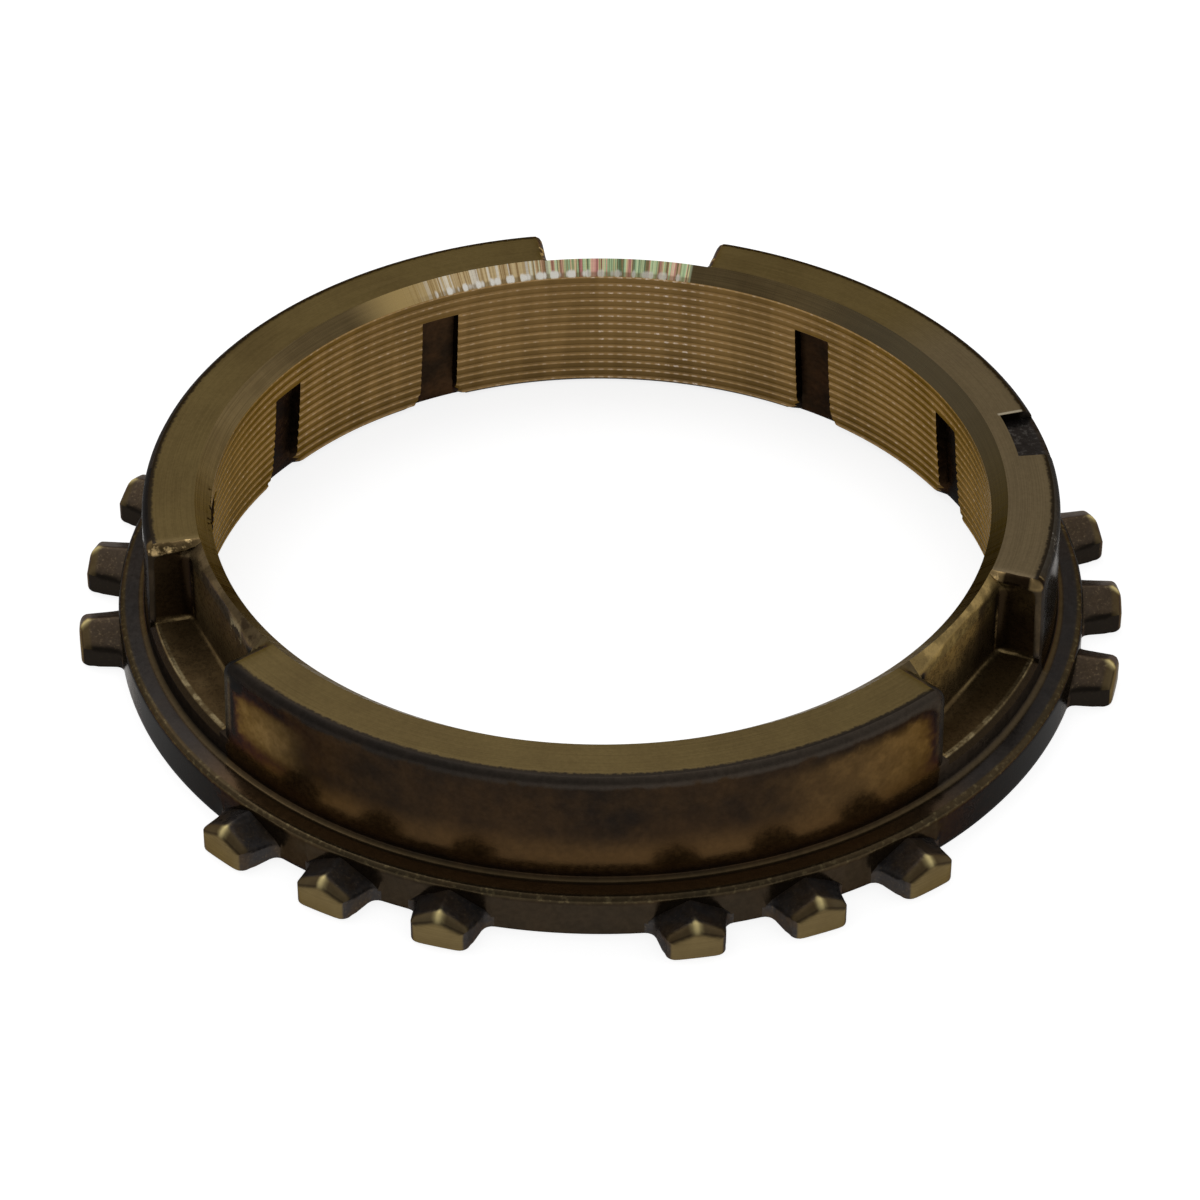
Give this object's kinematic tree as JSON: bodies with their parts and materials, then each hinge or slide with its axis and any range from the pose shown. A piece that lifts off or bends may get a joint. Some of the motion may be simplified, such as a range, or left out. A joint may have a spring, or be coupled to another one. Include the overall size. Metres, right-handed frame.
{
  "type": "synchronizer ring",
  "caption": "Brass synchronizer ring of a manual gearbox: a threaded friction cone with oil grooves, raised segments between key slots, and roof-shaped dog teeth on a flange.",
  "frame": {"origin": "on the ring's axis, in the plane of the gear-side face", "axes": "+Z along the axis, from the gear-side face to the top face; the middle of one raised segment points to -Y, and one key slot to +Y"},
  "size_m": [0.078, 0.0757, 0.0121],
  "materials": {
    "brass": "forged skin, turned on the cone, top face and tooth tips"
  },
  "bodies": {
    "root": {"synchro_ring": "brass"}
  },
  "joints": []
}
